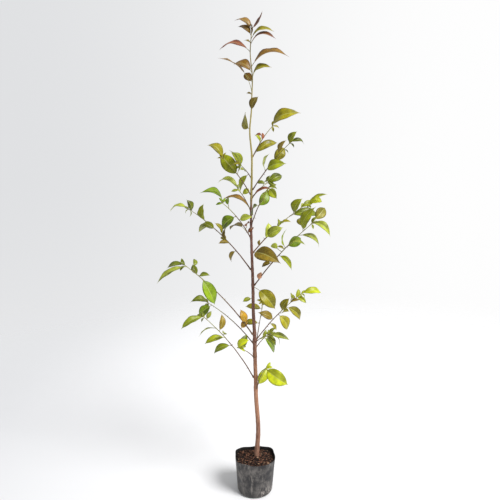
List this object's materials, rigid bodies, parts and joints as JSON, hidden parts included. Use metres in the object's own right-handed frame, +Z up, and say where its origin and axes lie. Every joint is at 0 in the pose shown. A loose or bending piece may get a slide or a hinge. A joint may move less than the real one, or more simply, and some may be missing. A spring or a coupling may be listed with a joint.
{
  "type": "potted sakaki sapling",
  "caption": "Young evergreen sakaki sapling with a slim upright trunk, bare lower boughs and airy arching leaves, standing in a small soft black nursery pot filled with soil.",
  "frame": {"origin": "centre of the pot's flat underside, on the surface the plant stands on", "axes": "+Z up along the trunk, +X to the right as the plant is pictured, +Y away from the viewer"},
  "size_m": [0.3992, 0.2379, 1.1435],
  "materials": {
    "pot_plastic": "thin soft black plastic, dusty and creased",
    "potting_soil": "damp dark potting mix with bark chips",
    "bark": "smooth red-brown bark, tan low down, olive towards the leader",
    "shoot_bark": "thin green-brown shoot bark",
    "leaf_green": "leathery green leaves with a soft gloss",
    "leaf_lime": "bright yellow-green leaves",
    "leaf_olive": "olive leaves turning brown",
    "leaf_bronze": "young bronze-red leaves",
    "leaf_gold": "old yellow-orange leaves"
  },
  "bodies": {
    "root": {"bough_back_low": "shoot_bark", "bough_left_bent": "shoot_bark", "bough_left_foot": "shoot_bark", "bough_left_long": "shoot_bark", "bough_left_low": "shoot_bark", "bough_left_short": "shoot_bark", "bough_left_upper": "shoot_bark", "bough_left_wide": "shoot_bark", "bough_right_inner": "shoot_bark", "bough_right_low": "shoot_bark", "bough_right_mid": "shoot_bark", "bough_right_upper": "shoot_bark", "bough_right_wide": "shoot_bark", "foliage_back_low": "leaf_olive", "foliage_leader": "leaf_bronze", "foliage_left_bent": "leaf_green", "foliage_left_foot": "leaf_green", "foliage_left_inner": "leaf_green", "foliage_left_long": "leaf_green", "foliage_left_low": "leaf_green", "foliage_left_short": "leaf_green", "foliage_left_top": "leaf_green", "foliage_left_upper": "leaf_green", "foliage_left_wide": "leaf_green", "foliage_right_dark": "leaf_green", "foliage_right_foot": "leaf_lime", "foliage_right_hang": "leaf_green", "foliage_right_inner": "leaf_green", "foliage_right_low": "leaf_green", "foliage_right_mid": "leaf_green", "foliage_right_rear": "leaf_green", "foliage_right_top": "leaf_olive", "foliage_right_upper": "leaf_green", "foliage_right_wide": "leaf_green", "leaf_left_arched": "leaf_bronze", "leaf_left_gold": "leaf_gold", "leaf_left_small": "leaf_green", "leaf_left_thin": "leaf_olive", "leaf_low_gold": "leaf_gold", "leaf_right_arched": "leaf_bronze", "leaf_right_brown": "leaf_olive", "leaf_right_hanging": "leaf_olive", "pot": "pot_plastic", "soil": "potting_soil", "trunk": "bark"}
  },
  "joints": []
}
